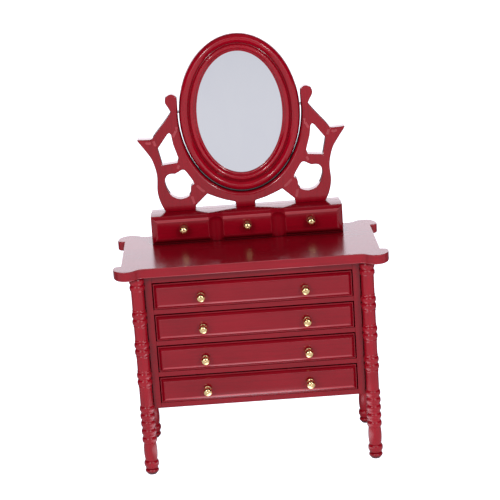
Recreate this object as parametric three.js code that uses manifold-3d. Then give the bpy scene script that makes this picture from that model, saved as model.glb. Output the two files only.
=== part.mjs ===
// Dolls-house dressing table: turned legs, four drawers, a swinging oval mirror.
// Millimetres, +X right, +Y to the back, +Z up. Origin: centre of the footprint, on the floor.
import * as THREE from 'three';
import * as BufferGeometryUtils from 'three/addons/utils/BufferGeometryUtils.js';
import Module from 'manifold-3d';

const wasm = await Module();
wasm.setup();

// ---- driving dimensions -------------------------------------------------
const topSurface = 76.1;        // height of the table top's upper face
const topThickness = 3.4;
const topHalfWidth = 45.1;      // straight side edge
const topHalfDepth = 23;        // straight front and back edge
const topArris = 0.35;
const earReachX = 2.6;          // how far a corner ear stands past the side edge
const earReachY = 3;            // and past the front edge
const earLength = 6;            // run of the ear along the side before the front edge
const earWidth = 8.4;           // run of the ear's ogee along the front edge

const legX = 40;                // leg axes
const legFrontY = -20.2;
const legBackY = 15.8;
const legShaftRadius = 2.25;
const legRingRadius = 2.65;
const legRingHalfHeight = 1.2;

const faceY = -18.7;            // front plane of the face frame
const frameThickness = 2;
const openingHalfWidth = 35;
const stileOuterX = 37.5;
const carcassBottom = 23.65;
const drawerCount = 4;
const openingHeight = 9.7;
const railHeight = 1.75;
const bottomRailHeight = 1.95;
const sideInnerX = 36.4;
const sideOuterX = 39.2;
const sideBackY = 12.9;
const backHalfWidth = 36.9;
const backThickness = 2.1;
const shelfThickness = 1.2;

const drawerGap = 0.3;          // clearance round a drawer front
const drawerFrontHalfWidth = openingHalfWidth - drawerGap;
const drawerFrontThickness = 2;
const drawerFieldHeight = 1.3;  // how far the raised field stands out
const drawerBevel = 1.6;
const drawerSideHeight = 7.7;
const drawerWall = 1.6;
const drawerFloor = 1;
const drawerFloorRise = 0.2;    // the bottom hangs this far above the sides' lower edges
const drawerBoxHalfWidth = 34.5;
const drawerBackY = 11.9;

const drawerFrontProud = 0.2;   // drawer fronts stand this far out of the face frame

const knobX = 18.2;
const knobDrop = 0.5;           // below the middle of the drawer front
const knobRadius = 1.6;
const smallKnobRadius = 1.6;
const smallKnobX = 23;
const smallKnobRise = 0.3;      // above the middle of the box
const knobShankRadius = 0.4;
const knobShankLength = 1.8;
const knobHoleDepth = 2.2;
const knobCollarHeight = 0.3;
const knobNeckTop = 0.5;        // where the neck meets the ball
const knobBallLift = 0.75;      // underside of the ball above the wood
const holeGap = 0.25;           // clearance round a shank or a pin in its hole

const boxHalfWidth = 34.7;
const boxFrontY = 8.8;
const boxHeight = 10.3;
const boxBevel = 1.9;
const boxFieldRise = 1;
const fluteX = 11.3;
const fluteWidth = 5.2;
const fluteDepth = 1.2;
const fluteTopGap = 0.6;        // from the head of a flute to the top of the box

const harpFrontY = 17.3;
const harpThickness = 4.4;
const harpRailHalfWidth = 34.4;
const harpRailTop = topSurface + boxHeight;
const archCentreZ = 34.9;       // centre of the elliptical opening above the rail
const archHalfWidth = 22.35;
const archHalfHeight = 29.55;

const mirrorHalfWidth = 21.9;
const mirrorHalfHeight = 28.7;
const mirrorCentreZ = harpRailTop + 34.4;
const mirrorThickness = 4.6;
const mirrorMidY = harpFrontY + harpThickness / 2;
const mirrorFaceWidth = 6.4;    // width of the moulding, outer edge to glass
const rebateInset = 5;          // outer edge to the wall of the rebate at the back
const lipDepth = 1.9;           // back face to the lip that holds the glass
const paneGap = 0.15;           // round the glass and its backing
const paneSeat = 0.05;          // between the lip and the glass
const paneThickness = 0.85;
const pivotRise = 1.7;          // pivot above the mirror's centre
const pivotPinRadius = 0.45;
const pivotPinInnerX = 20.3;
const pivotPinOuterX = 24.3;

// ---- materials ------------------------------------------------------------
const wood = (tone) => new THREE.MeshStandardMaterial({ color: tone, roughness: 0.28 });
const cherry = () => wood(0x7a1420);
const cherryInside = () => wood(0x6a2a26);
const brass = () => new THREE.MeshStandardMaterial({ color: 0xd9b15a, roughness: 0.25, metalness: 1 });
const steel = () => new THREE.MeshStandardMaterial({ color: 0x9a9a9c, roughness: 0.3, metalness: 1 });
const silvered = () => new THREE.MeshStandardMaterial({ color: 0xcdd0de, roughness: 0.05, metalness: 1 });

// ---- helpers ----------------------------------------------------------------
const assembly = new THREE.Group();

function add(name, geometry, material) {
  const mesh = new THREE.Mesh(geometry, material);
  mesh.name = name;
  assembly.add(mesh);
  return mesh;
}

function toSolid(geometry) {
  const bare = geometry.clone();
  bare.deleteAttribute('normal');
  bare.deleteAttribute('uv');
  const merged = BufferGeometryUtils.mergeVertices(bare, 1e-4);
  return new wasm.Manifold(new wasm.Mesh({
    numProp: 3,
    vertProperties: new Float32Array(merged.attributes.position.array),
    triVerts: new Uint32Array(merged.index.array),
  }));
}

function toGeometry(solid) {
  const mesh = solid.getMesh();
  const geometry = new THREE.BufferGeometry();
  geometry.setAttribute('position', new THREE.BufferAttribute(mesh.vertProperties, 3));
  geometry.setIndex(new THREE.BufferAttribute(mesh.triVerts, 1));
  geometry.computeVertexNormals();
  return geometry;
}

// A box given by its low and high corners.
function block(low, high) {
  const size = high.map((value, axis) => value - low[axis]);
  const middle = high.map((value, axis) => (value + low[axis]) / 2);
  return new THREE.BoxGeometry(...size).translate(...middle);
}

// An extrusion whose outline lies in the X-Z plane and whose depth runs from frontY to the back.
function board(shape, frontY, thickness, options = {}) {
  const settings = { depth: thickness, bevelEnabled: false, curveSegments: 24, ...options };
  return new THREE.ExtrudeGeometry(shape, settings).rotateX(Math.PI / 2)
    .translate(0, frontY + thickness, 0);
}

// A round rod along an axis ('x' or 'y') between two coordinates.
function rod(axis, from, to, radius, segments, centre) {
  const geometry = new THREE.CylinderGeometry(radius, radius, Math.abs(to - from), segments);
  const middle = (from + to) / 2;
  if (axis === 'x') return geometry.rotateZ(Math.PI / 2).translate(middle, ...centre);
  return geometry.translate(centre[0], middle, centre[1]);
}

function rectangle(halfWidth, low, high) {
  const shape = new THREE.Shape();
  shape.moveTo(-halfWidth, low).lineTo(halfWidth, low);
  shape.lineTo(halfWidth, high).lineTo(-halfWidth, high).closePath();
  return shape;
}

// Points on a smooth curve through a few knots.
function smooth(knots, steps) {
  return new THREE.SplineCurve(knots.map(([x, y]) => new THREE.Vector2(x, y))).getPoints(steps);
}

const point = (x, y) => new THREE.Vector2(x, y);
const mirrored = (points) => points.map((p) => point(-p.x, p.y)).reverse();

// A board with a raised field: the bevelled extrusion sinks its hidden back bevel into the board.
const fieldOverlap = 0.2;
function raisedPanel(halfWidth, low, high, frontY, thickness, bevel, rise) {
  const base = board(rectangle(halfWidth, low, high), frontY, thickness);
  const inner = rectangle(halfWidth - bevel, low + bevel, high - bevel);
  const field = new THREE.ExtrudeGeometry(inner, {
    depth: fieldOverlap, bevelEnabled: true, bevelSize: bevel, bevelThickness: rise, bevelSegments: 1,
  }).rotateX(Math.PI / 2).translate(0, frontY + fieldOverlap, 0);
  return toSolid(base).add(toSolid(field));
}

// ---- table top ----------------------------------------------------------------
// One corner of the outline, from the side edge round the ear to its notch at the front edge.
function earPoints() {
  const side = topHalfWidth;
  const front = topHalfDepth;
  const start = front - earLength;
  const tip = side + earReachX;
  const crest = front + earReachY;
  const end = side - earWidth;
  return smooth([
    [side, start], [tip - 1, start + 0.2], [tip - 0.1, start + 1.5], [tip, start + 3.5],
    [tip - 0.7, crest - 2.7], [tip - 2.2, crest - 0.8], [tip - 4.1, crest], [tip - 5.8, crest - 0.1],
    [tip - 7.3, crest - 1.1], [tip - 8.6, crest - 2.4], [tip - 9.8, front + 0.05], [end, front],
  ], 30);
}

function tableTop() {
  const corner = earPoints();
  const backHalf = [...corner, ...mirrored(corner)];
  const frontHalf = backHalf.map((p) => point(-p.x, -p.y));
  return new THREE.ExtrudeGeometry(new THREE.Shape([...backHalf, ...frontHalf]), {
    depth: topThickness - 2 * topArris, bevelEnabled: true, bevelSize: topArris,
    bevelThickness: topArris, bevelOffset: -topArris, bevelSegments: 1,
  }).translate(0, 0, topSurface - topThickness + topArris);
}
add('table_top', tableTop(), cherry());

// ---- legs -----------------------------------------------------------------------
// Turned rings, by height of their crests.
const ringHeights = [
  4, 13, 16, 19, 21.8, 24.6, 34.4, 37, 45.6, 48.2, 56.6, 59.1, 68.9, 71.3,
];

function legProfile() {
  const profile = [point(0, 0), point(1.6, 0), point(2.35, 0.7), point(2.45, 1.5), point(2.1, 2.7)];
  const half = legRingHalfHeight;
  for (const height of ringHeights) {
    if (height === 13) profile.push(point(2.1, 6.4), point(2.4, 9.2));
    profile.push(point(legShaftRadius, height - half), point(legRingRadius, height - half / 2));
    profile.push(point(legRingRadius, height + half / 2), point(legShaftRadius, height + half));
  }
  profile.push(point(legShaftRadius, topSurface - topThickness), point(0, topSurface - topThickness));
  return profile;
}

const legPlaces = {
  leg_front_left: [-legX, legFrontY], leg_front_right: [legX, legFrontY],
  leg_back_left: [-legX, legBackY], leg_back_right: [legX, legBackY],
};
for (const [name, [x, y]] of Object.entries(legPlaces)) {
  const turned = new THREE.LatheGeometry(legProfile(), 12).rotateX(Math.PI / 2);
  add(name, turned, cherry()).position.set(x, y, 0);
}

// ---- carcass ----------------------------------------------------------------------
const carcassTop = topSurface - topThickness;
const frameBackY = faceY + frameThickness;
const firstOpening = carcassBottom + bottomRailHeight;
const pitch = openingHeight + railHeight;
const openingBottom = (row) => firstOpening + (drawerCount - row) * pitch;

for (const [side, sign] of [['left', -1], ['right', 1]]) {
  const span = (inner, outer) => (sign < 0 ? [-outer, -inner] : [inner, outer]);
  const [panelLow, panelHigh] = span(sideInnerX, sideOuterX);
  const [stileLow, stileHigh] = span(openingHalfWidth, stileOuterX);
  add(`side_panel_${side}`, block([panelLow, frameBackY, carcassBottom],
    [panelHigh, sideBackY, carcassTop]), cherry());
  add(`stile_${side}`, block([stileLow, faceY, carcassBottom],
    [stileHigh, frameBackY, carcassTop]), cherry());
}

function rail(name, low, high) {
  add(name, block([-openingHalfWidth, faceY, low], [openingHalfWidth, frameBackY, high]), cherry());
}
rail('rail_top', openingBottom(1) + openingHeight, carcassTop);
rail('rail_bottom', carcassBottom, firstOpening);
for (let row = 1; row < drawerCount; row += 1) {
  const low = openingBottom(row) - railHeight;
  rail(`rail_${row}`, low, low + railHeight);
  add(`shelf_${row}`, block([-sideInnerX, frameBackY, openingBottom(row) - shelfThickness],
    [sideInnerX, sideBackY, openingBottom(row)]), cherryInside());
}
add('bottom_board', block([-sideInnerX, frameBackY, carcassBottom],
  [sideInnerX, sideBackY, firstOpening]), cherryInside());
add('back_panel', block([-backHalfWidth, sideBackY, carcassBottom],
  [backHalfWidth, sideBackY + backThickness, carcassTop]), cherry());

// ---- knobs -----------------------------------------------------------------------
// A ball on a waisted neck and a thin collar, with a shank that goes into the wood.
function knob(radius) {
  const neck = radius * 0.42;
  const ballCentre = radius + knobBallLift;
  const profile = [
    point(0, -knobShankLength), point(knobShankRadius, -knobShankLength), point(knobShankRadius, 0),
    point(radius * 0.8, 0), point(radius * 0.75, knobCollarHeight), point(neck, knobNeckTop),
  ];
  const steps = 5;
  for (let step = 1; step < steps; step += 1) {
    const angle = -Math.PI / 2 + Math.PI * (0.12 + 0.88 * (step / steps));
    profile.push(point(radius * Math.cos(angle), ballCentre + radius * Math.sin(angle)));
  }
  profile.push(point(0, ballCentre + radius));
  return new THREE.LatheGeometry(profile, 10).rotateX(Math.PI);
}

function addKnob(name, radius, x, faceOfWood, z) {
  add(name, knob(radius), brass()).position.set(x, faceOfWood, z);
}

const cutterReach = 1;          // a cutter starts this far outside the face it cuts
const knobHole = (x, faceOfWood, z) => toSolid(
  rod('y', faceOfWood - cutterReach, faceOfWood + knobHoleDepth, knobShankRadius + holeGap, 8, [x, z]));

// ---- drawers ----------------------------------------------------------------------
const boardY = faceY - drawerFrontProud;
const fieldY = boardY - drawerFieldHeight;
const frontBackY = boardY + drawerFrontThickness;

function drawer(row) {
  const name = `drawer_${row}`;
  const low = openingBottom(row) + drawerGap;
  const high = openingBottom(row) + openingHeight - drawerGap;
  const knobZ = (low + high) / 2 - knobDrop;
  let front = raisedPanel(drawerFrontHalfWidth, low, high, boardY, drawerFrontThickness,
    drawerBevel, drawerFieldHeight);
  for (const [side, sign] of [['left', -1], ['right', 1]]) {
    front = front.subtract(knobHole(sign * knobX, fieldY, knobZ));
    addKnob(`${name}_knob_${side}`, knobRadius, sign * knobX, fieldY, knobZ);
    const edges = [sign * drawerBoxHalfWidth, sign * (drawerBoxHalfWidth - drawerWall)];
    edges.sort((a, b) => a - b);
    add(`${name}_side_${side}`, block([edges[0], frontBackY, low],
      [edges[1], drawerBackY, low + drawerSideHeight]), cherryInside());
  }
  add(`${name}_front`, toGeometry(front), cherry());
  const innerX = drawerBoxHalfWidth - drawerWall;
  const innerBackY = drawerBackY - drawerWall;
  add(`${name}_back`, block([-innerX, innerBackY, low],
    [innerX, drawerBackY, low + drawerSideHeight]), cherryInside());
  add(`${name}_bottom`, block([-innerX, frontBackY, low + drawerFloorRise],
    [innerX, innerBackY, low + drawerFloorRise + drawerFloor]), cherryInside());
}
for (let row = 1; row <= drawerCount; row += 1) drawer(row);

// ---- mirror box: a solid moulding with three fields parted by two flutes ------------
function mirrorBox() {
  const front = boxFrontY + boxFieldRise;
  let solid = raisedPanel(boxHalfWidth, topSurface, harpRailTop, front, harpFrontY - front,
    boxBevel, boxFieldRise);
  const radius = (fluteWidth ** 2 / 4 + fluteDepth ** 2) / (2 * fluteDepth);
  const centreY = boxFrontY + fluteDepth - radius;
  const centreZ = harpRailTop - fluteTopGap - fluteWidth / 2;
  const shaftLength = boxHeight + 2;
  for (const x of [-fluteX, fluteX]) {
    const shaft = new THREE.CylinderGeometry(radius, radius, shaftLength, 32).rotateX(Math.PI / 2)
      .translate(x, centreY, centreZ - shaftLength / 2);
    const nose = new THREE.SphereGeometry(radius, 32, 16).rotateX(Math.PI / 2)
      .translate(x, centreY, centreZ);
    solid = solid.subtract(toSolid(shaft)).subtract(toSolid(nose));
  }
  const knobZ = topSurface + boxHeight / 2 + smallKnobRise;
  for (const [place, x] of [['left', -smallKnobX], ['middle', 0], ['right', smallKnobX]]) {
    solid = solid.subtract(knobHole(x, boxFrontY, knobZ));
    addKnob(`box_knob_${place}`, smallKnobRadius, x, boxFrontY, knobZ);
  }
  return toGeometry(solid);
}
add('mirror_box', mirrorBox(), cherry());

// ---- mirror stand: one fretted board -----------------------------------------------
// Heights here are measured from the top of the rail.
function standOutline() {
  const railLow = -boxHeight;
  const foot = smooth([[29.4, 0], [30.9, 3.3], [31.75, 7.6], [31.5, 13.6], [32.7, 18.9],
    [34.4, 22], [37.6, 26.6]], 14);
  const crown = smooth([[37.6, 27.1], [34.6, 26.9], [32.4, 27.1], [30.6, 29.2], [25.3, 35.6],
    [25.2, 37.2], [26.6, 40], [26, 42.1], [24.1, 42.8], [22.5, 41.8], [22.25, 40]], 22);
  const arch = [];
  const steps = 20;
  for (let step = 0; step < steps; step += 1) {
    const angle = (-Math.PI / 2) * (step / steps);
    arch.push(point(archHalfWidth * Math.cos(angle), archCentreZ + archHalfHeight * Math.sin(angle)));
  }
  const right = [point(harpRailHalfWidth, railLow), point(harpRailHalfWidth, 0),
    ...foot, ...crown, ...arch];
  const bottomOfArch = point(0, archCentreZ - archHalfHeight);
  return new THREE.Shape([...right, bottomOfArch, ...mirrored(right)]);
}

// Openings of the right-hand side; the left-hand ones are their mirror images.
function standOpenings() {
  const upper = [
    ...smooth([[25.3, 28.1], [25.9, 28.8], [26.7, 28.3]], 4), point(30.5, 23.3), point(29.2, 17.2),
    point(23.8, 17.7), point(23.2, 19.2), point(24.8, 24.6),
  ];
  const lower = [
    ...smooth([[24.9, 13.7], [26.9, 13.7], [28.2, 12.8], [28.75, 11], [28.4, 8.8], [27.4, 6.6],
      [25.7, 4.9], [23.3, 4.2], [20.9, 4.8], [19.8, 6], [19.6, 7.6]], 20),
    point(19.3, 8.7), point(18.2, 9.6),
    ...smooth([[18.7, 10.9], [20.9, 14.3], [22.1, 15], [23.4, 14.4]], 7),
  ];
  const sill = 0.1;             // the rail's top stands this much proud between the feet
  const beside = [
    point(3.7, sill), point(3.4, 1), point(3.8, 1.9),
    ...smooth([[7.2, 2.8], [10.1, 3.9], [13.7, 5.5]], 4), point(18.1, 1.5), point(18.2, sill),
  ];
  return [upper, lower, beside];
}

function mirrorStand() {
  const shape = standOutline();
  for (const opening of standOpenings()) {
    shape.holes.push(new THREE.Path(opening), new THREE.Path(mirrored(opening)));
  }
  let solid = toSolid(board(shape, harpFrontY, harpThickness));
  const pivotZ = mirrorCentreZ + pivotRise - harpRailTop;
  for (const sign of [-1, 1]) {
    const reach = [sign * (archHalfWidth - cutterReach), sign * (pivotPinOuterX + holeGap)];
    solid = solid.subtract(toSolid(rod('x', ...reach, pivotPinRadius + holeGap, 12,
      [mirrorMidY, pivotZ])));
  }
  return toGeometry(solid).translate(0, 0, harpRailTop);
}
add('mirror_stand', mirrorStand(), cherry());

// ---- mirror -------------------------------------------------------------------------
// The moulding's section: inset from the outer edge, height above the back face.
function mouldingSection() {
  const t = mirrorThickness;
  const outerBead = smooth([[0, t - 1.9], [0.5, t - 0.7], [1.7, t], [2.9, t - 0.6], [3.4, t - 1.4]], 6);
  const innerBead = smooth([[3.6, t - 1.3], [4.4, t - 0.7], [5.3, t - 1], [5.8, t - 1.9]], 5);
  return [
    point(0, 0), ...outerBead, ...innerBead, point(mirrorFaceWidth, t - 2.1),
    point(mirrorFaceWidth, lipDepth), point(rebateInset, lipDepth), point(rebateInset, 0),
  ];
}

// The section is turned into a ring and drawn out to an ellipse, which keeps the face's width.
function mirrorFrame() {
  const section = mouldingSection().map((p) => point(mirrorHalfWidth - p.x, p.y));
  section.push(section[0].clone());
  const ring = new THREE.LatheGeometry(section, 48);
  const position = ring.attributes.position;
  for (let i = 0; i < position.count; i += 1) {
    const radius = Math.hypot(position.getX(i), position.getZ(i));
    const rise = (mirrorHalfHeight - mirrorHalfWidth) * (position.getZ(i) / radius);
    position.setZ(i, position.getZ(i) + rise);
  }
  ring.rotateX(Math.PI).translate(0, mirrorMidY + mirrorThickness / 2, mirrorCentreZ);
  let solid = toSolid(ring);
  for (const sign of [-1, 1]) {
    const reach = [sign * (pivotPinInnerX - holeGap), sign * (mirrorHalfWidth + cutterReach)];
    solid = solid.subtract(toSolid(rod('x', ...reach, pivotPinRadius + holeGap, 12,
      [mirrorMidY, mirrorCentreZ + pivotRise])));
  }
  return toGeometry(solid);
}

function ovalPane(frontY, thickness) {
  const shape = new THREE.Shape();
  const inset = rebateInset + paneGap;
  shape.absellipse(0, 0, mirrorHalfWidth - inset, mirrorHalfHeight - inset, 0, Math.PI * 2);
  return board(shape, frontY, thickness, { curveSegments: 40 }).translate(0, 0, mirrorCentreZ);
}
const mirrorBackY = mirrorMidY + mirrorThickness / 2;
add('mirror_frame', mirrorFrame(), cherry());
add('mirror_glass', ovalPane(mirrorBackY - lipDepth + paneSeat, paneThickness), silvered());
add('mirror_backing', ovalPane(mirrorBackY - paneThickness, paneThickness), cherryInside());
for (const [side, sign] of [['left', -1], ['right', 1]]) {
  add(`pivot_pin_${side}`, rod('x', sign * pivotPinInnerX, sign * pivotPinOuterX, pivotPinRadius, 12,
    [mirrorMidY, mirrorCentreZ + pivotRise]), steel());
}

export default assembly;
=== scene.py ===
import math

import bmesh
import bpy
from mathutils import Matrix, Vector
from mathutils.geometry import delaunay_2d_cdt


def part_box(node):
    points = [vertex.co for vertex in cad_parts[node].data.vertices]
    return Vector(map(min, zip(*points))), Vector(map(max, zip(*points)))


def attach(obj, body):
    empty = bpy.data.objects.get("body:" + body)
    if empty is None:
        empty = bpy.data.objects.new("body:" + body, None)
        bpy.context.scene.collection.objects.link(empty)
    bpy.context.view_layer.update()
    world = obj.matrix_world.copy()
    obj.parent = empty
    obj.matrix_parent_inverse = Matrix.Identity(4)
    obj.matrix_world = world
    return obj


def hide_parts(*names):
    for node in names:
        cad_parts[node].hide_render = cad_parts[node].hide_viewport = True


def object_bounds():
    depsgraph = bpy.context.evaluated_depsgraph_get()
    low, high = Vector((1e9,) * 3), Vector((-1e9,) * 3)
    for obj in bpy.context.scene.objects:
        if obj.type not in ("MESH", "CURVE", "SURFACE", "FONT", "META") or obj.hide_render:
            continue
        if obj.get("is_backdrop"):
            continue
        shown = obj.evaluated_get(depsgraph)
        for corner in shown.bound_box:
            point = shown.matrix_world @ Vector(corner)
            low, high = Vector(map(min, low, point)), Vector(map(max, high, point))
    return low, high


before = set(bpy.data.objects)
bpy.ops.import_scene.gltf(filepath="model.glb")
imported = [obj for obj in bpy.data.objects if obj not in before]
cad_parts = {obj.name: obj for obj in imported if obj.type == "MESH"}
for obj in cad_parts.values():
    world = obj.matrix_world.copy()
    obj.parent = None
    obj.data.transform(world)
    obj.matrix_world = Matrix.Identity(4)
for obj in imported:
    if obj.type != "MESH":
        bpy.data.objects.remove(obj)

cad_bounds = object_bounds()
MM = 0.001                    # every builder below works in millimetres
SIDES = ("left", "right")
DRAWERS = (1, 2, 3, 4)


def span(node):
    """Lowest and highest corner of a CAD node, in millimetres."""
    low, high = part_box(node)
    return low / MM, high / MM


# ---- camera ---------------------------------------------------------------------
def place_camera():
    """The photo's view, slightly rolled."""
    azimuth, elevation, roll = math.radians(-0.85), math.radians(14.76), math.radians(-3.787)
    target = Vector((0.18, -2.2, 74.8)) * MM
    distance = 597.9 * MM
    back = Vector((math.sin(azimuth) * math.cos(elevation),
                   -math.cos(azimuth) * math.cos(elevation), math.sin(elevation)))
    level = Vector((math.cos(azimuth), math.sin(azimuth), 0))
    upright = back.cross(level)
    right = math.cos(roll) * level + math.sin(roll) * upright
    up = -math.sin(roll) * level + math.cos(roll) * upright
    data = bpy.data.cameras.new("camera")
    data.sensor_width = 36
    data.lens = 120.86
    camera = bpy.data.objects.new("camera", data)
    bpy.context.scene.collection.objects.link(camera)
    turn = Matrix((right, up, back)).transposed().to_4x4()
    camera.matrix_world = Matrix.Translation(target + back * distance) @ turn
    bpy.context.scene.camera = camera


# ---- materials ------------------------------------------------------------------
def smooth_step(tree, value, start, end, first, second):
    """Goes smoothly from a first amount to a second as a value passes two marks."""
    made = tree.nodes.new("ShaderNodeMapRange")
    made.interpolation_type = "SMOOTHSTEP"
    tree.links.new(value, made.inputs["Value"])
    for key, amount in (("From Min", start), ("From Max", end), ("To Min", first), ("To Max", second)):
        made.inputs[key].default_value = amount
    return made.outputs["Result"]


class Shader:
    """A node material, built by short calls."""

    def __init__(self, name):
        self.material = bpy.data.materials.new(name)
        self.material.use_nodes = True
        self.tree = self.material.node_tree
        self.surface = self.tree.nodes["Principled BSDF"]
        self.place = self.node("ShaderNodeTexCoord").outputs["Object"]

    def node(self, kind, **settings):
        made = self.tree.nodes.new(kind)
        for key, value in settings.items():
            setattr(made, key, value)
        return made

    def link(self, source, target):
        self.tree.links.new(source, target)

    def set(self, **values):
        for key, value in values.items():
            self.surface.inputs[key.replace("_", " ")].default_value = value

    def stretched(self, scale, offset=(0, 0, 0)):
        """The object's own coordinates, scaled by axis and moved."""
        mapping = self.node("ShaderNodeMapping")
        mapping.inputs["Scale"].default_value = scale
        mapping.inputs["Location"].default_value = offset
        self.link(self.place, mapping.inputs["Vector"])
        return mapping.outputs["Vector"]

    def noise(self, vector, detail, roughness=0.5, distortion=0.0):
        made = self.node("ShaderNodeTexNoise")
        self.link(vector, made.inputs["Vector"])
        for key, value in (("Scale", 1.0), ("Detail", detail), ("Roughness", roughness),
                           ("Distortion", distortion)):
            made.inputs[key].default_value = value
        return made.outputs["Fac"]

    def ramp(self, factor, *stops):
        """A value or colour ramp; each stop is a position and a grey level or a colour."""
        made = self.node("ShaderNodeValToRGB")
        elements = made.color_ramp.elements
        while len(elements) < len(stops):
            elements.new(0.5)
        for element, (position, value) in zip(elements, stops):
            element.position = position
            colour = (value,) * 3 if isinstance(value, (int, float)) else value
            element.color = (*colour, 1)
        self.link(factor, made.inputs["Fac"])
        return made.outputs["Color"]

    def mix(self, factor, first, second, blend="MIX"):
        made = self.node("ShaderNodeMix", data_type="RGBA", blend_type=blend)
        for socket, value in ((made.inputs[0], factor), (made.inputs[6], first),
                              (made.inputs[7], second)):
            if isinstance(value, bpy.types.NodeSocket):
                self.link(value, socket)
            elif isinstance(value, (int, float)):
                socket.default_value = value
            else:
                socket.default_value = (*value, 1)
        return made.outputs[2]

    def bump(self, height, strength, distance, below=None):
        made = self.node("ShaderNodeBump")
        made.inputs["Strength"].default_value = strength
        made.inputs["Distance"].default_value = distance
        self.link(height, made.inputs["Height"])
        if below is not None:
            self.link(below, made.inputs["Normal"])
        return made.outputs["Normal"]


GRAIN_ALONG = {"x": (70, 1500, 1500), "y": (1500, 70, 1500), "z": (1500, 1500, 70)}
CHERRY_LIGHT = (0.36, 0.002, 0.013)
CHERRY_DARK = (0.23, 0.001, 0.007)


def varnished_cherry(name, axis, seed, haze=0.1, tone=1.0, pale=0.0, painted_shade_level=0.12, varnish=1.0):
    """Cherry-red stain under a thick clear varnish; the grain runs along one axis.

    haze is the coat's roughness and varnish its share. tone lightens the stain, pale whitens it,
    and the painted shade level is how much of its colour is left where shade is painted into corners.
    """
    s = Shader(name)
    offset = (seed * 3.1, seed * 5.7, seed * 1.9)
    grain = s.noise(s.stretched(GRAIN_ALONG[axis], offset), detail=5, roughness=0.6, distortion=0.4)
    cloud = s.noise(s.stretched((60, 60, 60), offset), detail=3)
    light, dark = (tuple(tone * part + pale for part in colour)
                   for colour in (CHERRY_LIGHT, CHERRY_DARK))
    stain = s.mix(s.ramp(cloud, (0.3, 0.0), (0.7, 0.55)), light, dark)
    streak = s.ramp(grain, (0.36, 0.86), (0.5, 0.97), (0.66, 1.0))
    colour = s.mix(1.0, stain, streak, blend="MULTIPLY")
    # Painted shade: ambient occlusion darkens the stain in corners, gaps and under overhangs.
    corner = s.node("ShaderNodeAmbientOcclusion", samples=12)
    corner.inputs["Distance"].default_value = 0.004
    shadow = s.ramp(corner.outputs["AO"], (0.15, painted_shade_level), (0.5, 0.5 + painted_shade_level / 2), (0.85, 1.0))
    s.link(s.mix(1.0, colour, shadow, blend="MULTIPLY"), s.surface.inputs["Base Color"])
    wear = s.noise(s.stretched((220, 220, 220), offset), detail=6)
    s.link(s.ramp(wear, (0.35, 0.26), (0.7, 0.42)), s.surface.inputs["Roughness"])
    peel = s.noise(s.stretched((420, 420, 420), offset), detail=2)
    under = s.bump(peel, 0.10, 0.0003)
    s.link(s.bump(grain, 0.10, 0.00012, under), s.surface.inputs["Normal"])
    s.link(s.bump(peel, 0.03, 0.0003), s.surface.inputs["Coat Normal"])
    s.set(Coat_Weight=varnish, Coat_Roughness=haze, Coat_IOR=1.5, Specular_IOR_Level=0.0)
    return s.material


def stained_inner_wood():
    """The unvarnished boards inside: a thin matt stain with open grain."""
    s = Shader("inner_wood")
    grain = s.noise(s.stretched((60, 1700, 1700)), detail=7, roughness=0.65, distortion=0.5)
    cloud = s.noise(s.stretched((90, 90, 90)), detail=3)
    base = s.mix(s.ramp(cloud, (0.3, 0.0), (0.7, 1.0)), (0.20, 0.035, 0.028), (0.27, 0.065, 0.045))
    streak = s.ramp(grain, (0.35, 0.5), (0.6, 1.0))
    s.link(s.mix(1.0, base, streak, blend="MULTIPLY"), s.surface.inputs["Base Color"])
    s.link(s.ramp(grain, (0.3, 0.62), (0.7, 0.48)), s.surface.inputs["Roughness"])
    s.link(s.bump(grain, 0.35, 0.0002), s.surface.inputs["Normal"])
    return s.material


def polished_metal(name, light, dark, roughness):
    """Turned metal: fine tool marks, a little tarnish in patches."""
    s = Shader(name)
    tarnish = s.noise(s.stretched((900, 900, 900)), detail=5)
    s.link(s.mix(s.ramp(tarnish, (0.45, 0.0), (0.75, 0.7)), light, dark), s.surface.inputs["Base Color"])
    low, high = roughness
    s.link(s.ramp(tarnish, (0.3, low), (0.75, high)), s.surface.inputs["Roughness"])
    marks = s.noise(s.stretched((600, 14000, 600)), detail=3)
    s.link(s.bump(marks, 0.08, 0.00005), s.surface.inputs["Normal"])
    s.set(Metallic=1.0)
    return s.material


def mirror_silver():
    """Silvered sheet, with the faintest smears."""
    s = Shader("mirror_silver")
    smear = s.noise(s.stretched((90, 90, 35)), detail=5, distortion=1.2)
    s.link(s.ramp(smear, (0.4, 0.015), (0.75, 0.05)), s.surface.inputs["Roughness"])
    tint = s.mix(s.ramp(smear, (0.35, 0.0), (0.8, 1.0)), (0.93, 0.93, 0.94), (0.91, 0.91, 0.93))
    s.link(tint, s.surface.inputs["Base Color"])
    s.set(Metallic=1.0)
    return s.material


FLOOR_GREY = 0.62             # the floor in reflections: in front, and on to the horizon
FLOOR_PATCH = 3.4             # before and under the middle of the chest
FLOOR_DARK = 0.12             # behind


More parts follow.
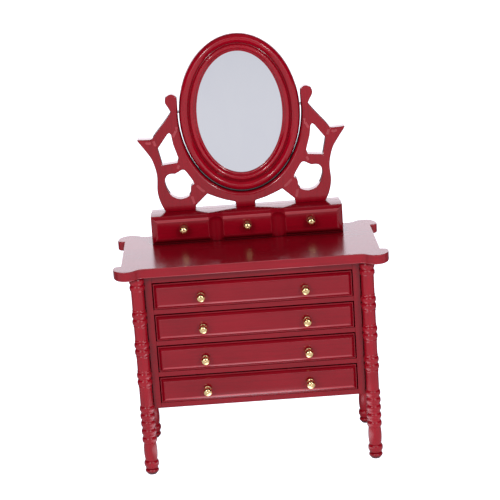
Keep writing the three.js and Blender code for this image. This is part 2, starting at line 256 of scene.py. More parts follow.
def pale_paper():
    """The studio floor. The camera sees it white.

    Reflections see it grey in front, bright by the middle of the chest and dark behind.
    """
    s = Shader("pale_paper")
    fibre = s.noise(s.stretched((300, 300, 300)), detail=4)
    s.link(s.mix(fibre, (0.14, 0.14, 0.15), (0.16, 0.16, 0.17)), s.surface.inputs["Base Color"])
    place = s.node("ShaderNodeSeparateXYZ")
    s.link(s.place, place.inputs["Vector"])

    def choose(factor, first, second):
        made = s.node("ShaderNodeMix")
        for socket, value in ((made.inputs[0], factor), (made.inputs[2], first), (made.inputs[3], second)):
            if isinstance(value, float):
                socket.default_value = value
            else:
                s.link(value, socket)
        return made.outputs[0]

    rays = s.node("ShaderNodeLightPath").outputs
    aside = s.node("ShaderNodeMath", operation="ABSOLUTE")
    s.link(place.outputs["X"], aside.inputs[0])
    off_middle = smooth_step(s.tree, aside.outputs[0], 0.012, 0.034, 0.0, 1.0)
    patch = smooth_step(s.tree, place.outputs["Y"], -0.085, -0.045, FLOOR_GREY, FLOOR_PATCH)
    behind = smooth_step(s.tree, place.outputs["Y"], -0.02, 0.02, 0.0, 1.0)
    gloss = choose(behind, choose(off_middle, patch, FLOOR_GREY), FLOOR_DARK)
    light = choose(behind, 0.75, 0.4)
    unseen = choose(rays["Is Glossy Ray"], light, gloss)
    s.link(choose(rays["Is Camera Ray"], unseen, 1.5), s.surface.inputs["Emission Strength"])
    s.set(Roughness=0.9, Emission_Color=(0.90, 0.92, 1, 1))
    s.material.cycles.emission_sampling = "NONE"
    return s.material


# ---- making pieces ----------------------------------------------------------------
def shade(mesh, sharp_angle):
    """Outward faces, smooth shading, and sharp edges where the surface turns more than the angle."""
    work = bmesh.new()
    work.from_mesh(mesh)
    bmesh.ops.remove_doubles(work, verts=work.verts, dist=0.002 * MM)
    bmesh.ops.dissolve_degenerate(work, edges=work.edges, dist=0.001 * MM)
    bmesh.ops.recalc_face_normals(work, faces=work.faces)
    work.to_mesh(mesh)
    work.free()
    mesh.polygons.foreach_set("use_smooth", [True] * len(mesh.polygons))
    mesh.set_sharp_from_angle(angle=math.radians(sharp_angle))


def install(obj, material, body, nodes, sharp_angle=34, flat=False):
    """Finishes a piece: shading, material, its body, the CAD nodes that it stands for."""
    shade(obj.data, sharp_angle)
    if flat:
        flatten_shading(obj)
    obj.data.materials.clear()
    obj.data.materials.append(material)
    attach(obj, body)
    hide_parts(*nodes)


def refinish(obj, material, is_chosen):
    """Gives another finish to the faces that the test picks by centre, in millimetres, and normal."""
    obj.data.materials.append(material)
    last = len(obj.data.materials) - 1
    for face in obj.data.polygons:
        if is_chosen(face.center / MM, face.normal):
            face.material_index = last


def new_object(name, points, faces):
    """A mesh object from points in millimetres."""
    mesh = bpy.data.meshes.new(name)
    mesh.from_pydata([Vector(p) * MM for p in points], [], faces)
    obj = bpy.data.objects.new(name, mesh)
    bpy.context.scene.collection.objects.link(obj)
    return obj


def flatten_shading(obj):
    """Lets the large flat faces keep their own normals up to their rounded edges."""
    weigh = obj.modifiers.new("flat_faces", "WEIGHTED_NORMAL")
    weigh.weight = 100
    weigh.keep_sharp = True
    graph = bpy.context.evaluated_depsgraph_get()
    mesh = bpy.data.meshes.new_from_object(obj.evaluated_get(graph))
    obj.modifiers.clear()
    obj.data = mesh


def smooth(knots, steps):
    """Points on a uniform Catmull-Rom curve through a few knots."""
    last = len(knots) - 1
    points = []
    for step in range(steps + 1):
        place = last * step / steps
        k = min(int(place), last - 1)
        t = place - k
        p0, p1, p2, p3 = (Vector(knots[min(max(k + j, 0), last)]) for j in (-1, 0, 1, 2))
        v0, v1 = (p2 - p0) * 0.5, (p3 - p1) * 0.5
        point = (2 * p1 - 2 * p2 + v0 + v1) * t ** 3 + (3 * p2 - 3 * p1 - 2 * v0 - v1) * t ** 2
        points.append(tuple(point + v0 * t + p1))
    return points


def mirrored(points):
    return [(-x, y) for x, y in reversed(points)]


def rounded_box(name, low, high, radius):
    """A board with its arrises rounded."""
    corners = [(x, y, z) for x in (low[0], high[0]) for y in (low[1], high[1])
               for z in (low[2], high[2])]
    faces = [(0, 1, 3, 2), (4, 6, 7, 5), (0, 4, 5, 1), (2, 3, 7, 6), (0, 2, 6, 4), (1, 5, 7, 3)]
    obj = new_object(name, corners, faces)
    work = bmesh.new()
    work.from_mesh(obj.data)
    bmesh.ops.recalc_face_normals(work, faces=work.faces)
    bmesh.ops.bevel(work, geom=list(work.edges), offset=radius * MM, offset_type="OFFSET",
                    segments=3, profile=0.5, affect="EDGES", clamp_overlap=True)
    work.to_mesh(obj.data)
    work.free()
    return obj


TURNED_SEGMENTS = 40


def lathe(name, profile, segments, place):
    """Turns (radius, height) points, which start and end on the axis; place maps x, y, height."""
    inner = profile[1:-1]
    points = [place(0, 0, profile[0][1])]
    for radius, height in inner:
        for k in range(segments):
            angle = 2 * math.pi * k / segments
            points.append(place(radius * math.cos(angle), radius * math.sin(angle), height))
    points.append(place(0, 0, profile[-1][1]))
    top = len(points) - 1
    faces = []
    for k in range(segments):
        following = (k + 1) % segments
        faces.append((0, 1 + following, 1 + k))
        for ring in range(len(inner) - 1):
            low, high = 1 + ring * segments, 1 + (ring + 1) * segments
            faces.append((low + k, low + following, high + following, high + k))
        last = 1 + (len(inner) - 1) * segments
        faces.append((top, last + k, last + following))
    return new_object(name, points, faces)


MITRE_LIMIT = 0.35            # keeps a sharp corner from moving too far


def inset_loop(loop, distances):
    """Moves each point of a closed outline into the material, which is on the outline's left."""
    count = len(loop)
    moved = []
    for k in range(count):
        before, here, after = (Vector(loop[(k + j) % count]) for j in (-1, 0, 1))
        first, second = (here - before).normalized(), (after - here).normalized()
        a, b = Vector((-first.y, first.x)), Vector((-second.y, second.x))
        moved.append(here + (a + b) * distances[k] / max(1 + a.dot(b), MITRE_LIMIT))
    for _ in range(4):            # an edge that has turned round is closed up
        for k in range(count):
            following = (k + 1) % count
            edge = Vector(loop[following]) - Vector(loop[k])
            if (moved[following] - moved[k]).dot(edge) < 0:
                moved[k] = moved[following] = (moved[k] + moved[following]) / 2
    return [tuple(p) for p in moved]


def crossings(loop, x, y):
    """How many edges of a closed outline lie to the right of a point."""
    return sum((y0 > y) != (y1 > y) and x < x0 + (y - y0) * (x1 - x0) / (y1 - y0)
               for (x0, y0), (x1, y1) in zip(loop, loop[1:] + loop[:1]))


def fill_loops(loops, lines):
    """Triangles inside the outlines; lines are open paths that the triangles follow."""
    points, edges, index = [], [], {}

    def place(point):
        key = (round(point[0], 3), round(point[1], 3))
        if key not in index:
            index[key] = len(points)
            points.append(Vector(key))
        return index[key]

    for path, closed in [(loop, True) for loop in loops] + [(line, False) for line in lines]:
        ids = [place(point) for point in path]
        pairs = zip(ids, ids[1:] + ids[:1]) if closed else zip(ids, ids[1:])
        edges += [pair for pair in pairs if pair[0] != pair[1]]
    made, _, triangles, *_ = delaunay_2d_cdt(points, edges, [], 0, 1e-5)
    kept = []
    for triangle in triangles:
        middle = sum((made[k] for k in triangle), Vector((0, 0))) / 3
        if sum(crossings(loop, *middle) for loop in loops) % 2:
            kept.append(tuple(triangle))
    return [tuple(p) for p in made], kept


def groove_lines(path, half_width):
    """The two edges of a tapered groove whose bottom is the path."""
    left, right = [path[0]], [path[0]]
    for before, here, after in zip(path, path[1:], path[2:]):
        along = (Vector(after) - Vector(before)).normalized()
        across = Vector((-along.y, along.x)) * half_width
        left.append(tuple(Vector(here) + across))
        right.append(tuple(Vector(here) - across))
    return [left + [path[-1]], right + [path[-1]]]


ARRIS_STEPS = 5


def flat_board(name, loops, thickness, radius, place, grooves=(), groove_depth=0.0, groove_reach=0.0,
               back_radius=0.3):
    """A board cut to outlines, its arrises rounded; place maps across, up and depth from its face.

    The material is on each outline's left. radius is a length, or a function of an outline point.
    grooves are open paths carved into the face; groove_reach is half their width.
    """
    reach = radius if callable(radius) else (lambda point: radius)
    points, faces = [], []
    steps = [math.pi / 2 * k / ARRIS_STEPS for k in range(ARRIS_STEPS + 1)]
    faced, backed = [], []
    for loop in loops:
        front = [reach(point) for point in loop]
        rings = [(inset_loop(loop, [r * (1 - math.cos(a)) for r in front]),
                  [r * (1 - math.sin(a)) for r in front]) for a in reversed(steps)]
        rings += [(inset_loop(loop, [back_radius * (1 - math.cos(a))] * len(loop)),
                   [thickness - back_radius * (1 - math.sin(a))] * len(loop)) for a in steps]
        faced.append(rings[0][0])
        backed.append(rings[-1][0])
        base, count = len(points), len(loop)
        for ring, depths in rings:
            points += [place(x, y, depth) for (x, y), depth in zip(ring, depths)]
        for row in range(len(rings) - 1):
            for k in range(count):
                a, b = base + row * count + k, base + row * count + (k + 1) % count
                faces.append((a, b, b + count, a + count))
    bottoms = {(round(x, 3), round(y, 3)) for path in grooves for x, y in path[1:-1]}
    lines = [line for path in grooves for line in [path, *groove_lines(path, groove_reach)]]
    for outlines, extra, depth in ((faced, lines, 0), (backed, [], thickness)):
        made, triangles = fill_loops(outlines, extra)
        base = len(points)
        for x, y in made:
            sunk = groove_depth if (round(x, 3), round(y, 3)) in bottoms and extra else 0
            points.append(place(x, y, depth + sunk))
        faces += [tuple(base + k for k in triangle) for triangle in triangles]
    return new_object(name, points, faces)


# ---- table top ----------------------------------------------------------------------
EAR_SIDEWAYS, EAR_FORWARD = 2.6, 3     # how far an ear stands out from the side and the front
EAR_START = 6                 # behind the front edge
TOP_ARRIS = 0.3
TOP_LOWER_ARRIS = 0.5


def top_outline(width, depth):
    """A rectangle with an ogee ear at each corner; width and depth reach over the ears."""
    tip, crest = width / 2, depth / 2
    side, front = tip - EAR_SIDEWAYS, crest - EAR_FORWARD
    start = front - EAR_START
    ear = smooth([(side, start), (tip - 1, start + 0.2), (tip - 0.1, start + 1.5), (tip, start + 3.5),
                  (tip - 0.7, crest - 2.7), (tip - 2.2, crest - 0.8), (tip - 4.1, crest),
                  (tip - 5.8, crest - 0.1), (tip - 7.3, crest - 1.1), (tip - 8.6, crest - 2.4),
                  (tip - 9.8, front + 0.05), (side - 8.4, front)], 88)
    back_half = [*ear, *mirrored(ear)]
    return back_half + [(-x, -y) for x, y in back_half]


def make_table_top(material, painted_highlight):
    """The board; its upper and lower arrises carry a painted highlight, a lighter stain."""
    low, high = span("table_top")
    outline = top_outline(high.x - low.x, high.y - low.y)
    top = flat_board("top_board", [outline], high.z - low.z, TOP_ARRIS,
                     lambda x, y, depth: (x, y, high.z - depth), back_radius=TOP_LOWER_ARRIS)
    install(top, material, "carcass", ["table_top"], 40, flat=True)
    # Painted highlight: the rounded arrises get the lighter, paler stain.
    refinish(top, painted_highlight, lambda centre, normal: 0.3 < abs(normal.z) < 0.9)


# ---- legs -----------------------------------------------------------------------------
SHAFT = 2.27                  # radius
RING_HALF_HEIGHT = 1.12
RING_GROOVE = 2.16            # radius between two rings
RING_SWELL = 0.49
COLLAR_AWAY = 1.55            # from the middle of the nearest ring
COLLAR_HALF_HEIGHT = 0.3
COLLAR_SWELL = 0.12
VASE_LOW, VASE_HIGH = 5.2, 11.9
VASE_NECK, VASE_SWELL = 2.1, 0.32
FOOT_RADIUS, FOOT_HALF_HEIGHT = 2.45, 1.35
FOOT_FLAT = 1.6               # radius of the foot's flat underside
TURNING_STEP = 0.12
PAIRED_RINGS = (34.4, 37, 45.6, 48.2, 56.6, 59.1)
LOWER_RINGS = (4, 13, 16, 19, 21.8, 24.6)
UPPER_RINGS = (68.9, 71.3)


def leg_radius(height):
    """The turned profile: a plain shaft with rounded rings, a long vase and a ball foot."""
    radius = SHAFT
    if VASE_LOW < height < VASE_HIGH:
        swell = math.sin(math.pi * (height - VASE_LOW) / (VASE_HIGH - VASE_LOW)) ** 0.8
        radius = VASE_NECK + VASE_SWELL * swell
    for ring in PAIRED_RINGS + LOWER_RINGS + UPPER_RINGS:
        reach = (height - ring) / RING_HALF_HEIGHT
        if abs(reach) < 1:
            radius = max(radius, RING_GROOVE + RING_SWELL * math.sqrt(1 - reach * reach))
    for first, second in zip(PAIRED_RINGS[::2], PAIRED_RINGS[1::2]):
        for collar in (first - COLLAR_AWAY, second + COLLAR_AWAY):
            reach = (height - collar) / COLLAR_HALF_HEIGHT
            if abs(reach) < 1:
                radius = max(radius, SHAFT + COLLAR_SWELL * math.sqrt(1 - reach * reach))
    return radius


def leg_profile(height):
    foot = [(FOOT_RADIUS * math.sin(a), FOOT_HALF_HEIGHT - FOOT_HALF_HEIGHT * math.cos(a))
            for a in (math.pi * k / 16 for k in range(4, 13))]
    foot[0] = (FOOT_FLAT, 0)
    profile = [(0, 0), *foot]
    z = foot[-1][1] + TURNING_STEP
    while z < height - 0.05:
        profile.append((leg_radius(z), z))
        z += TURNING_STEP
    return profile + [(leg_radius(height), height), (0, height)]


def make_leg(place, material):
    node = f"leg_{place}"
    low, high = span(node)
    x, y = (low.x + high.x) / 2, (low.y + high.y) / 2
    leg = lathe(f"turned_leg_{place}", leg_profile(high.z), TURNED_SEGMENTS,
                lambda a, b, h: (x + a, y + b, h))
    install(leg, material, "carcass", [node], 50)


# ---- carcass ----------------------------------------------------------------------------
def make_board(node, material, body, radius=0.12):
    low, high = span(node)
    install(rounded_box(f"{node}_board", low, high, radius), material, body, [node], flat=True)


# ---- knobs --------------------------------------------------------------------------------
KNOB_SHANK_LENGTH = 1.8
KNOB_SHANK_RADIUS = 0.4
KNOB_LIFT = 0.75              # underside of the ball above the wood
KNOB_NECK_ANGLE = 0.44        # of the ball's underside, lost in the neck
KNOB_DEPTH = 0.92             # the front half is a little flatter than a ball
KNOB_ROUND, KNOB_FLAT = 2.6, 2.3     # powers that shape the front half
KNOB_DIMPLE = 0.13            # radius of the dimple, as a share of the knob's


def make_knob(node, body, material):
    """A ball on a waisted neck with a thin collar and a dimpled front; its shank is in the wood."""
    low, high = span(node)
    x, z = (low.x + high.x) / 2, (low.z + high.z) / 2
    face = high.y - KNOB_SHANK_LENGTH
    radius = (high.z - low.z) / 2
    centre = radius + KNOB_LIFT
    shank = [(0, -KNOB_SHANK_LENGTH), (KNOB_SHANK_RADIUS, -KNOB_SHANK_LENGTH), (KNOB_SHANK_RADIUS, 0)]
    collar = [(radius * 0.8, 0), (radius * 0.82, 0.12), (radius * 0.74, 0.27), (radius * 0.5, 0.36)]
    profile = [*shank, *collar, (radius * 0.42, 0.5)]
    start = -math.pi / 2 + KNOB_NECK_ANGLE
    back_steps, front_steps = 14, 18
    for step in range(back_steps):
        angle = start * (1 - step / back_steps)
        profile.append((radius * math.cos(angle), centre + radius * math.sin(angle)))
    for step in range(front_steps):
        out = 1 - (step / front_steps) * 0.82
        swell = (1 - out ** KNOB_ROUND) ** (1 / KNOB_FLAT)
        profile.append((radius * out, centre + KNOB_DEPTH * radius * swell))
    front = profile[-1][1]
    profile += [(radius * KNOB_DIMPLE, front - 0.05), (0, front - 0.16)]
    knob = lathe(f"{node}_turned", profile, TURNED_SEGMENTS, lambda a, b, h: (x + a, face - h, z + b))
    install(knob, material, body, [node], 40)


# ---- drawers --------------------------------------------------------------------------------
def rectangle_loft(name, rings):
    """A solid through rectangles that face the front; each is low x, high x, low z, high z, y."""
    points, faces = [], []
    for x0, x1, z0, z1, y in rings:
        points += [(x0, y, z0), (x1, y, z0), (x1, y, z1), (x0, y, z1)]
    for ring in range(len(rings) - 1):
        for k in range(4):
            a, b = ring * 4 + k, ring * 4 + (k + 1) % 4
            faces.append((a, b, b + 4, a + 4))
    last = len(points) - 4
    faces += [(3, 2, 1, 0), (last, last + 1, last + 2, last + 3)]
    return new_object(name, points, faces)


def field_section(bevel, rise):
    """From the board's edge to the raised field: inset and height over the board's front."""
    return [(0, -0.25), (0.04, -0.1), (0.14, 0), (0.3, 0.01)] + smooth(
        [(0.4, 0.04), (bevel * 0.45, rise * 0.44), (bevel * 0.7, rise * 0.76),
         (bevel * 0.95, rise * 0.93), (bevel + 0.3, rise)], 24)


FIELD_RISE = 1.3
FIELD_BEVEL = 1.6
DRAWER_HANG = 0.2             # a drawer's front hangs this far into the gap below it
HIGHLIGHT_LOW, HIGHLIGHT_HIGH = 1.2, 1.85    # the shoulder with the painted highlight, above the front's lower edge


def make_drawer_front(row, material, painted_highlight):
    """A board with a raised field; it hangs low in its opening, and its lower shoulder carries a painted
    highlight.
    """
    node = f"drawer_{row}_front"
    low, high = span(node)
    front = low.y + FIELD_RISE
    sill = low.z - DRAWER_HANG
    rings = [(low.x, high.x, sill, high.z, high.y)]
    for inset, height in field_section(FIELD_BEVEL, FIELD_RISE):
        rings.append((low.x + inset, high.x - inset, sill + inset, high.z - inset, front - height))
    board = rectangle_loft(f"{node}_panel", rings)
    install(board, material, f"drawer_{row}", [node], 28)
    # Painted highlight: the lower shoulder, which faces the bright floor, gets the lighter stain.
    refinish(board, painted_highlight, lambda centre, normal: HIGHLIGHT_LOW < centre.z - sill < HIGHLIGHT_HIGH
             and normal.z < -0.05)


def make_drawer(row, front_material, painted_highlight, inner, brass):
    make_drawer_front(row, front_material, painted_highlight)
    for side in SIDES:
        make_board(f"drawer_{row}_side_{side}", inner, f"drawer_{row}", 0.15)
        make_knob(f"drawer_{row}_knob_{side}", f"drawer_{row}", brass)
    for part in ("back", "bottom"):
        make_board(f"drawer_{row}_{part}", inner, f"drawer_{row}", 0.12)


# ---- mirror box ------------------------------------------------------------------------------
FLUTE_X = 11.3
FLUTE_WIDTH = 5.2
FLUTE_DEPTH = 1.2
FLUTE_TOP = 0.6               # wood left above a flute
FLUTE_BLEND = 0.12            # rounds the edge between a flute and the fields
BOX_RISE = 1.0
BOX_BEVEL = 1.9
BOX_GRID = 0.14
BOX_HIGHLIGHT_HIGH, BOX_HIGHLIGHT_LOW = 1.3, 2.2     # the shoulder with the painted highlight, below the box's top
MARK_DEPTH, MARK_WIDTH, MARK_PITCH = 0.07, 0.7, 0.62     # tool marks down a flute's left side
MARK_ASIDE = 0.36             # from the flute's middle, as a share of its width


def soft_max(a, b, blend):
    """The larger value, with a rounded change from one to the other."""
    h = max(blend - abs(a - b), 0) / blend
    return max(a, b) + h * h * blend / 4


def make_mirror_box(material, painted_highlight, flute_varnish_and_shade):
    """Three raised fields parted by two scooped flutes.

    The fields' upper shoulder carries a painted highlight; the flutes have little varnish and a darker
    stain, which is painted shade.
    """
    low, high = span("mirror_box")
    radius = (FLUTE_WIDTH ** 2 / 4 + FLUTE_DEPTH ** 2) / (2 * FLUTE_DEPTH)
    centre_y = low.y + FLUTE_DEPTH - radius
    centre_z = high.z - FLUTE_TOP - FLUTE_WIDTH / 2
    section = field_section(BOX_BEVEL, BOX_RISE)

    def front_y(x, z):
        edge = min(x - low.x, high.x - x, z - low.z, high.z - z)
        height = BOX_RISE
        for (a, ha), (b, hb) in zip(section, section[1:]):
            if a <= edge <= b:
                height = ha + (hb - ha) * (edge - a) / (b - a)
                break
        y = low.y + BOX_RISE - height
        for flute in (-FLUTE_X, FLUTE_X):
            across = (x - flute) ** 2 + max(z - centre_z, 0) ** 2
            if across < radius * radius:
                bottom = centre_y + math.sqrt(radius * radius - across)
                left = max(1 - abs(x - flute + FLUTE_WIDTH * MARK_ASIDE) / MARK_WIDTH, 0)
                marks = MARK_DEPTH * left * math.sin(2 * math.pi * z / MARK_PITCH)
                y = soft_max(y, bottom + marks, FLUTE_BLEND)
        return y

    breaks = [inset for inset, _ in section]

    def grid_lines(start, end):
        """The moulding's own breaks near both ends, and an even run between."""
        inner = end - start - 2 * breaks[-1]
        count = round(inner / BOX_GRID)
        run = [start + breaks[-1] + inner * k / count for k in range(1, count)]
        return [start + inset for inset in breaks] + run + [end - inset for inset in reversed(breaks)]

    xs = grid_lines(low.x, high.x)
    zs = grid_lines(low.z, high.z)
    points = [(x, front_y(x, z), z) for z in zs for x in xs]
    wide, tall = len(xs), len(zs)
    faces = [(j * wide + i, j * wide + i + 1, (j + 1) * wide + i + 1, (j + 1) * wide + i)
             for j in range(tall - 1) for i in range(wide - 1)]
    rim = list(range(wide)) + [j * wide + wide - 1 for j in range(1, tall)]
    rim += [(tall - 1) * wide + i for i in range(wide - 2, -1, -1)]
    rim += [j * wide for j in range(tall - 2, 0, -1)]
    base = len(points)
    points += [(points[k][0], high.y, points[k][2]) for k in rim]
    count = len(rim)
    for k in range(count):
        following = (k + 1) % count
        faces.append((rim[k], base + k, base + following, rim[following]))
    faces.append(tuple(range(base, base + count)))
    box = new_object("mirror_box_moulding", points, faces)
    install(box, material, "carcass", ["mirror_box"], 34)

    def off_flute(centre):
        return abs(abs(centre.x) - FLUTE_X)

    def on_shoulder(centre, normal):
        return (BOX_HIGHLIGHT_HIGH < high.z - centre.z < BOX_HIGHLIGHT_LOW and normal.z > 0.1
                and normal.y < -0.5 and off_flute(centre) > FLUTE_WIDTH / 2)

    # Painted highlight on the fields' upper shoulder; painted shade, with little varnish, in the flutes.
    refinish(box, painted_highlight, on_shoulder)
    refinish(box, flute_varnish_and_shade, lambda centre, normal: off_flute(centre) < FLUTE_WIDTH / 2
             and normal.y < -0.5 and centre.y > low.y + 0.15)


# ---- mirror stand ------------------------------------------------------------------------------
# Measured from the middle of the rail's top.
ARCH_CENTRE, ARCH_WIDTH, ARCH_HEIGHT = 34.9, 22.35, 29.55
ARCH_TOP = 38                 # the arch's wall ends below the knobs of the arms
ARCH_ARRIS = 1.45
ARCH_STEPS = 72
STAND_ARRIS = 0.35
CARVING_DEPTH = 0.15
CARVING_HALF_WIDTH = 0.45
CARVING_HIGHLIGHT = 0.4          # half the width of the line with the painted highlight


def stand_loops(rail_low):
    """The outline and its six openings; the right-hand half is drawn and mirrored."""
    foot = smooth([(29.4, 0), (30.9, 3.3), (31.75, 7.6), (31.5, 13.6), (32.7, 18.9), (34.4, 22),
                   (37.6, 26.6)], 48)
    crown = smooth([(37.6, 27.1), (34.6, 26.9), (32.4, 27.1), (30.6, 29.2), (25.3, 35.6),
                    (25.2, 37.2), (26.6, 40), (26, 42.1), (24.1, 42.8), (22.5, 41.8),
                    (22.25, 40)], 80)
    arch = []
    for step in range(ARCH_STEPS):
        angle = -math.pi / 2 * step / ARCH_STEPS
        arch.append((ARCH_WIDTH * math.cos(angle), ARCH_CENTRE + ARCH_HEIGHT * math.sin(angle)))
    right = [(34.4, rail_low), (34.4, 0), *foot, *crown, *arch]
    outline = right + [(0, ARCH_CENTRE - ARCH_HEIGHT)] + mirrored(right)
    upper = smooth([(25.3, 28.1), (25.9, 28.8), (26.7, 28.3)], 10) + [
        (30.5, 23.3), (29.2, 17.2), (23.8, 17.7), (23.2, 19.2), (24.8, 24.6)]
    lower = smooth([(24.9, 13.7), (26.9, 13.7), (28.2, 12.8), (28.75, 11), (28.4, 8.8), (27.4, 6.6),
                    (25.7, 4.9), (23.3, 4.2), (20.9, 4.8), (19.8, 6), (19.6, 7.6)], 60)
    lower += [(19.3, 8.7), (18.2, 9.6)]
    lower += smooth([(18.7, 10.9), (20.9, 14.3), (22.1, 15), (23.4, 14.4)], 20)
    beside = [(3.7, 0), (3.4, 1), (3.8, 1.9)]
    beside += smooth([(7.2, 2.8), (10.1, 3.9), (13.7, 5.5)], 14) + [(18.1, 1.5), (18.2, 0)]
    loops = [outline]
    for opening in (upper, lower, beside):
        edges = zip(opening, opening[1:] + opening[:1])
        clockwise = sum(a[0] * b[1] - b[0] * a[1] for a, b in edges) < 0
        wound = opening if clockwise else opening[::-1]
        loops += [wound, mirrored(wound)]
    return loops


# Carved lines where one bar of the fret passes over another, on the right-hand half.
CARVED_LINES = (
    [(23.1, 30.6), (23.4, 29.6), (24, 28.4), (24.7, 27.1)],
    [(31.8, 26.4), (31.5, 25.4), (31.1, 24.3)],
    [(32.7, 25.8), (33.7, 25.5), (34.8, 25.9)],
    [(23.2, 16.9), (23.5, 16.2), (23.9, 15.4)],
    [(17.5, 9), (16.6, 8.1), (15.6, 7.1), (14.4, 6.2)],
    [(18.6, 2), (19, 3.6), (19.4, 5.2)],
)


def arch_reach(x, height):
    """How far out a point of the stand lies; 1 is on the wall of the arch."""
    return (x / ARCH_WIDTH) ** 2 + (min(height - ARCH_CENTRE, 0) / ARCH_HEIGHT) ** 2


def arris_radius(point):
    """Wide round the mirror's opening, small elsewhere."""
    x, height = point
    return ARCH_ARRIS if arch_reach(x, height) < 1.001 and height < ARCH_TOP else STAND_ARRIS


def on_line(x, y, line, reach):
    """True when a point is within reach of a line through points."""
    for start, end in zip(line, line[1:]):
        run = Vector(end) - Vector(start)
        way = (Vector((x, y)) - Vector(start)).dot(run) / run.length_squared
        nearest = Vector(start) + run * min(max(way, 0), 1)
        if (Vector((x, y)) - nearest).length < reach:
            return True
    return False


def make_mirror_stand(material, wall_varnish_and_shade, painted_highlight):
    """The fretted board; the wall round the mirror is nearly bare of varnish and darkened by painted
    shade, and its carving carries a painted highlight.
    """
    low, high = span("mirror_stand")
    rail_top = span("mirror_box")[1].z
    loops = stand_loops(low.z - rail_top)
    carved = [smooth(line, 8) for line in CARVED_LINES]
    carved += [mirrored(line) for line in carved]
    stand = flat_board("fretted_stand", loops, high.y - low.y, arris_radius,
                       lambda x, up, depth: (x, low.y + depth, rail_top + up),
                       carved, CARVING_DEPTH, CARVING_HALF_WIDTH)
    install(stand, material, "carcass", ["mirror_stand"], 40, flat=True)

    def in_arch(centre, normal):
        up = centre.z - rail_top
        return (0.97 < arch_reach(centre.x, up) < 1.03 and up < ARCH_TOP
                and centre.y > low.y + 0.5 * ARCH_ARRIS)

    def on_carving(centre, normal):
        return (low.y + 0.01 < centre.y < low.y + 0.2 and normal.y < -0.5
                and any(on_line(centre.x, centre.z - rail_top, line, CARVING_HIGHLIGHT)
                        for line in carved))

    # Painted shade on the wall round the mirror; painted highlight along the carving.
    refinish(stand, wall_varnish_and_shade, in_arch)
    refinish(stand, painted_highlight, on_carving)


# ---- mirror --------------------------------------------------------------------------------------
def make_mirror_frame(material):
    """The moulding's section carried round an ellipse, keeping its width."""
    low, high = span("mirror_frame")
    half_width, half_height = (high.x - low.x) / 2, (high.z - low.z) / 2
    middle = (low.z + high.z) / 2
    t = high.y - low.y            # from the back to the crest
    outer = smooth([(0, t - 1.9), (0.45, t - 0.75), (1.7, t), (2.9, t - 0.65), (3.4, t - 1.4)], 22)
    inner = smooth([(3.6, t - 1.35), (4.4, t - 0.7), (5.3, t - 1), (5.8, t - 1.9)], 16)
    section = [(0.3, 0), (0.08, 0.08), (0, 0.3), *outer, *inner, (6.3, t - 2.05), (6.4, t - 2.2),
               (6.4, 1.9), (5, 1.9), (5, 0.1), (4.9, 0)]
    around, count = 180, len(section)
    points, faces = [], []
    for k in range(around):
        angle = 2 * math.pi * k / around
        for inset, height in section:
            points.append(((half_width - inset) * math.cos(angle), high.y - height,
                           middle + (half_height - inset) * math.sin(angle)))
    for k in range(around):
        a, b = k * count, (k + 1) % around * count
        for j in range(count):
            i = (j + 1) % count
            faces.append((a + j, b + j, b + i, a + i))
    frame_piece = new_object("mirror_frame_moulding", points, faces)
    install(frame_piece, material, "mirror", ["mirror_frame"], 40)


def make_oval(node, name, material, radius):
    low, high = span(node)
    half_width, half_height = (high.x - low.x) / 2, (high.z - low.z) / 2
    middle = (low.z + high.z) / 2
    around = 120
    loop = [(half_width * math.cos(a), half_height * math.sin(a))
            for a in (2 * math.pi * k / around for k in range(around))]
    oval = flat_board(name, [loop], high.y - low.y, radius,
                      lambda x, up, depth: (x, low.y + depth, middle + up), back_radius=radius)
    install(oval, material, "mirror", [node], flat=True)


def make_pin(node, material):
    low, high = span(node)
    y, z = (low.y + high.y) / 2, (low.z + high.z) / 2
    radius, chamfer = (high.z - low.z) / 2, 0.12
    profile = [(0, low.x), (radius - chamfer, low.x), (radius, low.x + chamfer),
               (radius, high.x - chamfer), (radius - chamfer, high.x), (0, high.x)]
    pin = lathe(f"{node}_wire", profile, 24, lambda a, b, h: (h, y + a, z + b))
    install(pin, material, "mirror", [node], 60)


# ---- studio --------------------------------------------------------------------------------------
WALL_LIGHT = 2.3
PANEL_LIGHT = 1.75
CEILING_LIGHT = 0.12
LENS_DIRECTION = (0, -0.967, 0.255)    # fixed in the room
FLOOR_REACH = 2500
LAMP_SIDE, LAMP_FRONT, LAMP_HEIGHT = 383, 720, 450
LAMP_SIZE, LAMP_WATTS = 110, 0.9
LAMP_AIM_HEIGHT = 70


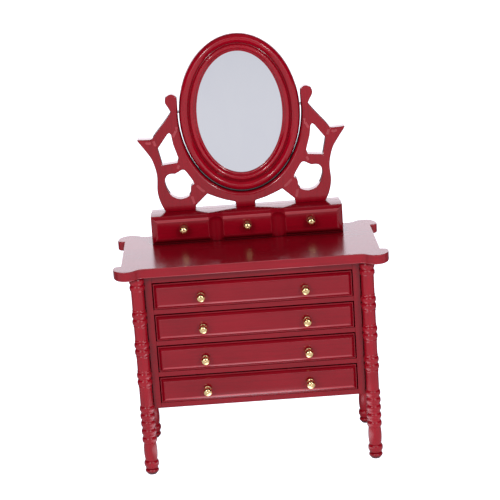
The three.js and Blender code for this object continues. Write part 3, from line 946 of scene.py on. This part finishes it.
def make_world():
    """The room that reflections see; the camera sees plain white beyond the floor.

    A bright wall stands behind the table and a soft panel in front, with a dark spot for a lens.
    The floor's grey goes on to the horizon in front. The ceiling is dim and the sides are dark.
    """
    world = bpy.data.worlds.new("studio")
    world.use_nodes = True
    tree = world.node_tree
    link = tree.links.new
    coordinates = tree.nodes.new("ShaderNodeTexCoord")
    direction = tree.nodes.new("ShaderNodeSeparateXYZ")
    link(coordinates.outputs["Generated"], direction.inputs["Vector"])

    def band(axis, start, end, amount):
        """Rises to an amount as the direction's part along an axis goes from start to end."""
        return smooth_step(tree, direction.outputs[axis], start, end, 0.0, amount)

    def combine(operation, first, second):
        made = tree.nodes.new("ShaderNodeMath")
        made.operation = operation
        link(first, made.inputs[0])
        link(second, made.inputs[1])
        return made.outputs["Value"]

    wall = combine("MULTIPLY", band("Y", 0.7, 0.9, WALL_LIGHT), band("Z", 0.75, 0.5, 1.0))
    panel = combine("MULTIPLY", band("Y", -0.55, -0.75, PANEL_LIGHT), band("Z", 0.75, 0.6, 1.0))
    panel = combine("MULTIPLY", panel, band("Z", 0.02, 0.14, 1.0))
    lens = tree.nodes.new("ShaderNodeVectorMath")
    lens.operation = "DOT_PRODUCT"
    link(coordinates.outputs["Generated"], lens.inputs[0])
    lens.inputs[1].default_value = LENS_DIRECTION
    panel = combine("MULTIPLY", panel, smooth_step(tree, lens.outputs["Value"], 0.985, 0.94, 0.0, 1.0))
    horizon = combine("MULTIPLY", band("Y", 0.1, -0.3, FLOOR_GREY), band("Z", 0.14, 0.02, 1.0))
    room = combine("ADD", combine("ADD", panel, horizon), band("Z", 0.6, 0.95, CEILING_LIGHT))
    light = tree.nodes["Background"]
    link(combine("ADD", wall, room), light.inputs["Strength"])
    light.inputs["Color"].default_value = (0.97, 0.92, 1, 1)
    white = tree.nodes.new("ShaderNodeBackground")
    choose = tree.nodes.new("ShaderNodeMixShader")
    link(tree.nodes.new("ShaderNodeLightPath").outputs["Is Camera Ray"], choose.inputs["Fac"])
    link(light.outputs["Background"], choose.inputs[1])
    link(white.outputs["Background"], choose.inputs[2])
    white.inputs["Color"].default_value = (1, 1, 1, 1)
    link(choose.outputs["Shader"], tree.nodes["World Output"].inputs["Surface"])
    bpy.context.scene.world = world


def make_studio():
    corners = [(x * FLOOR_REACH, y * FLOOR_REACH, 0) for x, y in ((-1, -1), (1, -1), (1, 1), (-1, 1))]
    floor = new_object("studio_floor", corners, [(0, 1, 2, 3)])
    floor.data.materials.append(pale_paper())
    floor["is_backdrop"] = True
    make_world()
    for name, x in (("left_lamp", -LAMP_SIDE), ("right_lamp", LAMP_SIDE)):
        data = bpy.data.lights.new(name, "AREA")
        data.size = LAMP_SIZE * MM
        data.energy = LAMP_WATTS
        lamp = bpy.data.objects.new(name, data)
        bpy.context.scene.collection.objects.link(lamp)
        lamp.location = Vector((x, -LAMP_FRONT, LAMP_HEIGHT)) * MM
        aim = Vector((0, 0, LAMP_AIM_HEIGHT)) * MM - lamp.location
        lamp.rotation_euler = aim.to_track_quat("-Z", "Y").to_euler()
    bpy.context.scene.view_settings.view_transform = "Standard"


# ---- the table -------------------------------------------------------------------------------------
def make_table():
    brass = polished_metal("brass", (0.95, 0.72, 0.36), (0.78, 0.50, 0.20), (0.10, 0.22))
    steel = polished_metal("steel", (0.62, 0.62, 0.62), (0.45, 0.45, 0.46), (0.2, 0.35))
    inner = stained_inner_wood()
    across = varnished_cherry("cherry_carcass", "x", 1)
    upright = varnished_cherry("cherry_upright", "z", 2, painted_shade_level=0.7)
    # A lighter, paler stain for chosen edges and lines: a painted highlight where they would catch light.
    painted_highlight = varnished_cherry("cherry_painted_highlight", "x", 18, haze=0.2, tone=1.4, pale=0.06, painted_shade_level=1.0)
    make_table_top(varnished_cherry("cherry_top", "x", 3, haze=0.22, tone=1.15), painted_highlight)
    for index, place in enumerate(("front_left", "front_right", "back_left", "back_right")):
        make_leg(place, varnished_cherry(f"cherry_leg_{place}", "z", 4 + index, haze=0.24, tone=1.3))
    for side in SIDES:
        make_board(f"side_panel_{side}", upright, "carcass")
        make_board(f"stile_{side}", upright, "carcass", 0.09)
        make_pin(f"pivot_pin_{side}", steel)
    for node in ("rail_top", "rail_1", "rail_2", "rail_3", "rail_bottom", "back_panel"):
        make_board(node, across, "carcass", 0.09)
    for node in ("shelf_1", "shelf_2", "shelf_3", "bottom_board"):
        make_board(node, inner, "carcass", 0.1)
    for row in DRAWERS:
        make_drawer(row, varnished_cherry(f"cherry_drawer_{row}", "x", 8 + row), painted_highlight, inner, brass)
    # The flutes get little varnish, a darker stain and deeper corner darkening: painted shade in the
    # scoops.
    make_mirror_box(varnished_cherry("cherry_box", "x", 13), painted_highlight,
                    varnished_cherry("cherry_flute_thin_varnish_shaded", "z", 16, haze=0.3, tone=0.9, painted_shade_level=0.4, varnish=0.2))
    for place in ("left", "middle", "right"):
        make_knob(f"box_knob_{place}", "carcass", brass)
    # The stand's stain is lightened, painted light for the glow bounced up from the box top. Its arch wall
    # has little varnish and is darkened almost to black in the corners: painted shade.
    make_mirror_stand(varnished_cherry("cherry_stand", "z", 14, tone=1.2, painted_shade_level=0.5),
                      varnished_cherry("cherry_arch_wall_thin_varnish_shaded", "z", 15, painted_shade_level=0.05, varnish=0.15), painted_highlight)
    make_mirror_frame(varnished_cherry("cherry_mirror_frame", "z", 15, tone=1.35))
    make_oval("mirror_glass", "mirror_sheet", mirror_silver(), 0.1)
    make_oval("mirror_backing", "mirror_back_board", inner, 0.15)


place_camera()
make_table()
make_studio()

plain = [[[float(value) for value in corner] for corner in box]
         for box in (cad_bounds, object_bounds())]
